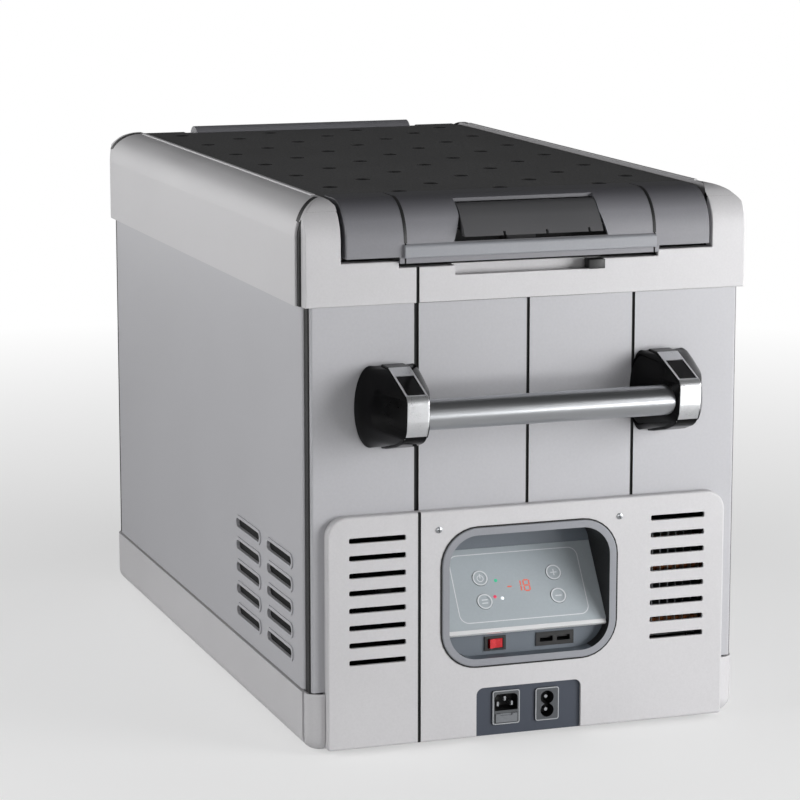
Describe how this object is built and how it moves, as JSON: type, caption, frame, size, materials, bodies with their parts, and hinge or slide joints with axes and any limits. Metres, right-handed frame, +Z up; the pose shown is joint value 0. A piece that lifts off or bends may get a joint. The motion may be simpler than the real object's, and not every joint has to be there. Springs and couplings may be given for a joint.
{
  "type": "portable compressor fridge",
  "caption": "Chest-type compressor cooler fridge for vehicles with a rear-hinged lid, end handles, front display and lower vent cover.",
  "frame": {"origin": "centre of the bounding box at floor level, under the rubber feet", "axes": "+Z up, the front with display and latch faces -Y, +X to the right of someone facing the front"},
  "size_m": [0.44, 0.8654, 0.516],
  "materials": {
    "light_grey_plastic": "fine satin moulding",
    "mid_grey_panel": "satin powder coat",
    "dark_grey_plastic": "satin moulding",
    "black_plastic": "matt",
    "gloss_black_plastic": "polished",
    "lid_texture": "fine leather grain",
    "satin_metal": "satin anodised",
    "steel": "zinc plated",
    "navy_plastic": "satin",
    "red_plastic": "gloss",
    "white_liner": "smooth moulding",
    "rubber": "matt",
    "foam": "open cells",
    "copper": "bright drawn copper",
    "black_steel": "gloss enamel",
    "circuit_board": "solder mask",
    "clear_lens": "frosted"
  },
  "bodies": {
    "cabinet": {"ac_inlet": "black_plastic", "base_tray": "light_grey_plastic", "bay_bulkhead": "steel", "compressor": "black_steel", "compressor_grommets": "rubber", "compressor_mount": "steel", "condenser_fins": "satin_metal", "control_bezel": "dark_grey_plastic", "controller_box": "satin_metal", "dc_inlet": "black_plastic", "display_board": "circuit_board", "display_plate": "dark_grey_plastic", "display_trim": "satin_metal", "end_frames": "black_plastic", "evaporator_plate": "satin_metal", "fan_frame": "black_plastic", "feet": "rubber", "filter_drier": "copper", "front_basket": "steel", "front_fascia": "light_grey_plastic", "front_wall": "mid_grey_panel", "handle_pods": "gloss_black_plastic", "handle_screws": "steel", "handle_tubes": "satin_metal", "hinge_housing": "dark_grey_plastic", "hinge_pin": "steel", "inlet_pins": "steel", "inner_tub": "white_liner", "insulation": "foam", "interior_light": "clear_lens", "left_side_panel": "mid_grey_panel", "left_top_rail": "light_grey_plastic", "lower_cover": "light_grey_plastic", "pod_caps": "black_plastic", "power_panel": "navy_plastic", "rear_basket": "steel", "rear_fascia": "light_grey_plastic", "rear_wall": "mid_grey_panel", "refrigerant_pipes": "copper", "right_side_panel": "mid_grey_panel", "right_top_rail": "light_grey_plastic", "switch_housing": "black_plastic", "tub_collar": "black_plastic", "usb_block": "black_plastic"},
    "lid": {"lid_shell": "lid_texture", "lid_foam": "foam", "lid_liner": "white_liner", "lid_gasket": "rubber", "latch_cover": "dark_grey_plastic", "paddle_pin": "steel", "hinge_barrel": "dark_grey_plastic"},
    "latch": {"latch_paddle": "dark_grey_plastic"},
    "fan": {"fan_rotor": "black_plastic"},
    "rocker": {"main_rocker": "red_plastic"},
    "drawer": {"fuse_drawer": "black_plastic", "fuse_link": "clear_lens"},
    "mode_key_body": {"mode_key": "gloss_black_plastic"},
    "power_key_body": {"power_key": "gloss_black_plastic"},
    "colder_key_body": {"colder_key": "gloss_black_plastic"},
    "warmer_key_body": {"warmer_key": "gloss_black_plastic"}
  },
  "joints": [
    {"name": "lid_hinge", "type": "hinge", "parent": "cabinet", "child": "lid", "pos_m": [0, 0.34, 0.5], "axis": [-1, 0, 0], "range_deg": [0, 95]},
    {"name": "latch_pull", "type": "hinge", "parent": "lid", "child": "latch", "pos_m": [0, -0.34764, 0.49472], "axis": [-1, 0, 0], "range_deg": [0, 28], "stiffness_Nm_per_rad": 0.25, "springref_deg": -20.05},
    {"name": "fan_shaft", "type": "hinge", "parent": "cabinet", "child": "fan", "pos_m": [0.148, -0.31, 0.132], "axis": [0, 1, 0], "continuous": true},
    {"name": "main_switch", "type": "hinge", "parent": "cabinet", "child": "rocker", "pos_m": [-0.03, -0.356, 0.091], "axis": [0, 0, -1], "range_deg": [0, 16]},
    {"name": "fuse_drawer_slide", "type": "slide", "parent": "cabinet", "child": "drawer", "axis": [0, -1, 0], "range_m": [0, 0.016]},
    {"name": "mode_key_press", "type": "slide", "parent": "cabinet", "child": "mode_key_body", "axis": [0, 0.8236, -0.5671], "range_m": [0, 0.0012], "stiffness_N_per_m": 600, "springref_m": -0.0005},
    {"name": "power_key_press", "type": "slide", "parent": "cabinet", "child": "power_key_body", "axis": [0, 0.8236, -0.5671], "range_m": [0, 0.0012], "stiffness_N_per_m": 600, "springref_m": -0.0005},
    {"name": "colder_key_press", "type": "slide", "parent": "cabinet", "child": "colder_key_body", "axis": [0, 0.8236, -0.5671], "range_m": [0, 0.0012], "stiffness_N_per_m": 600, "springref_m": -0.0005},
    {"name": "warmer_key_press", "type": "slide", "parent": "cabinet", "child": "warmer_key_body", "axis": [0, 0.8236, -0.5671], "range_m": [0, 0.0012], "stiffness_N_per_m": 600, "springref_m": -0.0005}
  ]
}
